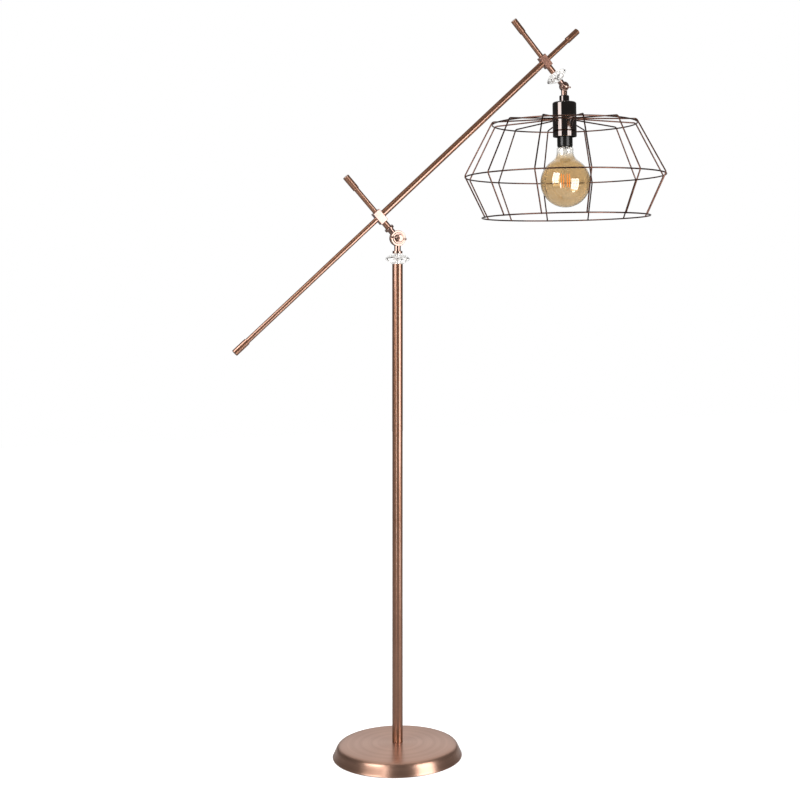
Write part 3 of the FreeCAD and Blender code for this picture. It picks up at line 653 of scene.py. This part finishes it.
def stem_glass(name):
    material, tree, shader = new_finish(name)
    set_shader(shader, IOR=1.52, Transmission_Weight=1.0)
    streaks = noise(tree, (260, 260, 60))
    two_tone(tree, shader, streaks, (0.93, 0.95, 0.95), (1.0, 1.0, 1.0))
    vary_roughness(tree, shader, streaks, 0.0, 0.05)
    bump(tree, shader, streaks, 0.0003, 0.3)
    return material


def phosphor(name):
    material, tree, shader = new_finish(name)
    grains = noise(tree, 1400, detail=3.0)
    colour = two_tone(tree, shader, grains, (0.90, 0.27, 0.01), (1.0, 0.38, 0.02))
    # The phosphor's orange is also used as a painted glow.
    join(tree, colour, "Color", shader, "Emission Color")
    set_shader(shader, Emission_Strength=PAINTED_PHOSPHOR_GLOW, Roughness=0.5)
    bump(tree, shader, grains, 0.0001, 0.4)
    return material


amber = bulb_amber("bulb_amber")
globe_glass.data.materials.append(amber)
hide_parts("bulb_glass")
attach(globe_glass, "bulb")
paint(stem_glass("stem_clear"), "bulb_stem")
paint(phosphor("phosphor_orange_painted_glow"), "bulb_filaments")
print("bulb glass and filaments done")

# %% [markdown]
# ## The room
# The background is white to the eye and through clear glass. In reflections the room is dark, so
# that the polished cup reads as dark metal, with a dim glow straight behind the lamp. A second
# glow, behind and above, is what the flat top of the base reflects. Diffuse light comes evenly
# from all round.

# %% World
ROOM_FILL = 0.55
ROOM_DARK = 0.08
BEHIND_GLOW = 0.35
HIGH_GLOW = 0.40
GLASS_GLOW = 0.86
WHITE_ROOM = 1.0
BEHIND = (math.sin(TURN), math.cos(TURN), 0)
HIGH_FROM = 0.16
HIGH_TO = 0.30

world = bpy.data.worlds.new("studio_world")
bpy.context.scene.world = world
world.use_nodes = True
sky = world.node_tree
sky.nodes.clear()
rays = add_node(sky, "ShaderNodeLightPath")
ray_way = add_node(sky, "ShaderNodeTexCoord")
level = add_node(sky, "ShaderNodeVectorMath", operation="MULTIPLY")
level.inputs[1].default_value = (1, 1, 0)
join(sky, ray_way, "Generated", level, 0)
level_way = add_node(sky, "ShaderNodeVectorMath", operation="NORMALIZE")
join(sky, level, "Vector", level_way, 0)


def facing(direction, low, high, bottom, top):
    """A value that rises smoothly as a ray turns towards a level direction."""
    towards = add_node(sky, "ShaderNodeVectorMath", operation="DOT_PRODUCT")
    towards.inputs[1].default_value = direction
    join(sky, level_way, "Vector", towards, 0)
    rise = add_node(sky, "ShaderNodeMapRange", {
        "From Min": low, "From Max": high, "To Min": bottom, "To Max": top},
        interpolation_type="SMOOTHSTEP")
    join(sky, towards, "Value", rise, "Value")
    return rise.outputs["Result"]


def combine(operation, first, second):
    """Two values multiplied or added."""
    node = add_node(sky, "ShaderNodeMath", operation=operation)
    sky.links.new(first, node.inputs[0])
    sky.links.new(second, node.inputs[1])
    return node.outputs["Value"]


def choose(ray, otherwise, strength):
    """A strength where a ray is of a kind, and another where it isn't."""
    choice = add_node(sky, "ShaderNodeMix", data_type="FLOAT")
    join(sky, rays, ray, choice, "Factor")
    for socket, value in (("A", otherwise), ("B", strength)):
        if isinstance(value, float):
            choice.inputs[socket].default_value = value
        else:
            sky.links.new(value, choice.inputs[socket])
    return choice.outputs["Result"]


split_way = add_node(sky, "ShaderNodeSeparateXYZ")
join(sky, ray_way, "Generated", split_way, "Vector")
above = spread(sky, split_way, "Z", 0.0, 1.0, HIGH_FROM, HIGH_TO).outputs["Result"]
high_glow = combine("MULTIPLY", facing(BEHIND, 0.70, 0.92, 0, HIGH_GLOW), above)
behind_glow = facing(BEHIND, 0.90, 0.96, ROOM_DARK, BEHIND_GLOW)
reflected = combine("ADD", behind_glow, high_glow)
by_gloss = choose("Is Glossy Ray", ROOM_FILL, reflected)
by_glass = choose("Is Transmission Ray", by_gloss, GLASS_GLOW)
by_camera = choose("Is Camera Ray", by_glass, WHITE_ROOM)
glow = add_node(sky, "ShaderNodeBackground", {"Color": (1, 1, 1, 1)})
sky.links.new(by_camera, glow.inputs["Strength"])
sky_out = add_node(sky, "ShaderNodeOutputWorld")
join(sky, glow, "Background", sky_out, "Surface")
print("room:", len(sky.nodes), "nodes")

# %% [markdown]
# ## The floor
# A pale floor catches a soft shadow. To the eye it glows a little, more with the distance from the
# pole, so that it meets the white room without a line. In reflections it is a plain grey.

# %% Floor
FLOOR_SIZE = 14
FLOOR_DROP = 0.0004
FLOOR_PALE = (0.86, 0.86, 0.86, 1)
FLOOR_GREY = (0.35, 0.35, 0.35, 1)
GLOW_NEAR, GLOW_FAR = 0.5, 1.0
NEAR_POLE, FAR_FROM_POLE = 0.3, 1.6


def floor_finish():
    material, tree, shader = new_finish("floor_white")
    tree.nodes.remove(shader)
    pale = add_node(tree, "ShaderNodeBsdfDiffuse", {"Color": FLOOR_PALE})
    lit = add_node(tree, "ShaderNodeEmission", {"Color": (1, 1, 1, 1)})
    coords = add_node(tree, "ShaderNodeTexCoord")
    distance = add_node(tree, "ShaderNodeVectorMath", operation="LENGTH")
    join(tree, coords, "Object", distance, 0)
    strength = spread(tree, distance, "Value", GLOW_NEAR, GLOW_FAR, NEAR_POLE, FAR_FROM_POLE)
    join(tree, strength, "Result", lit, "Strength")
    to_the_eye = add_node(tree, "ShaderNodeAddShader")
    join(tree, pale, "BSDF", to_the_eye, 0)
    join(tree, lit, "Emission", to_the_eye, 1)
    reflected_floor = add_node(tree, "ShaderNodeBsdfDiffuse", {"Color": FLOOR_GREY})
    floor_rays = add_node(tree, "ShaderNodeLightPath")
    seen = add_node(tree, "ShaderNodeMath", operation="MAXIMUM")
    join(tree, floor_rays, "Is Camera Ray", seen, 0)
    join(tree, floor_rays, "Is Transmission Ray", seen, 1)
    mix = add_node(tree, "ShaderNodeMixShader")
    join(tree, seen, "Value", mix, "Fac")
    join(tree, reflected_floor, "BSDF", mix, 1)
    join(tree, to_the_eye, "Shader", mix, 2)
    join(tree, mix, "Shader", tree.nodes["Material Output"], "Surface")
    return material


bpy.ops.object.select_all(action="DESELECT")
bpy.ops.mesh.primitive_plane_add(size=FLOOR_SIZE, location=(0, 0, -FLOOR_DROP))
floor = bpy.context.object
floor.name = "studio_floor"
floor.data.materials.append(floor_finish())
print("floor", FLOOR_SIZE, "m square")

# %% [markdown]
# ## The lamps
# Two softboxes stand to the left and right of the camera, where their shapes show on the globe and
# as two stripes down every rod. A narrow strip under each carries the stripes on down the pole.

# %% Softboxes and strips
LAMPS = [
    # name, spot, point it faces, width, height, watts
    ("softbox_right", (0.85, -1.30, 1.055), (0.42, -0.07, 1.055), 0.91, 1.21, 17.5),
    ("softbox_left", (-1.44, -0.51, 1.93), (0.44, 0, 1.45), 1.15, 1.65, 30),
    ("strip_left", (-1.354, -1.472, 0.56), (0, 0, 0.56), 0.22, 1.06, 3.6),
    ("strip_right", (0.93, -1.25, 0.16), (0.42, -0.07, 0.16), 0.35, 0.26, 1.4),
]


def hang_lamp(name, spot, aim, width, height, power):
    """A rectangular area lamp at a spot, turned to face a point."""
    bpy.ops.object.light_add(type="AREA", location=spot)
    lamp = bpy.context.object
    lamp.name = name
    lamp.data.shape = "RECTANGLE"
    lamp.data.size = width
    lamp.data.size_y = height
    lamp.data.energy = power
    lamp.rotation_euler = (Vector(aim) - Vector(spot)).to_track_quat("-Z", "Y").to_euler()


for lamp_facts in LAMPS:
    hang_lamp(*lamp_facts)
print("lamps:", len(LAMPS))
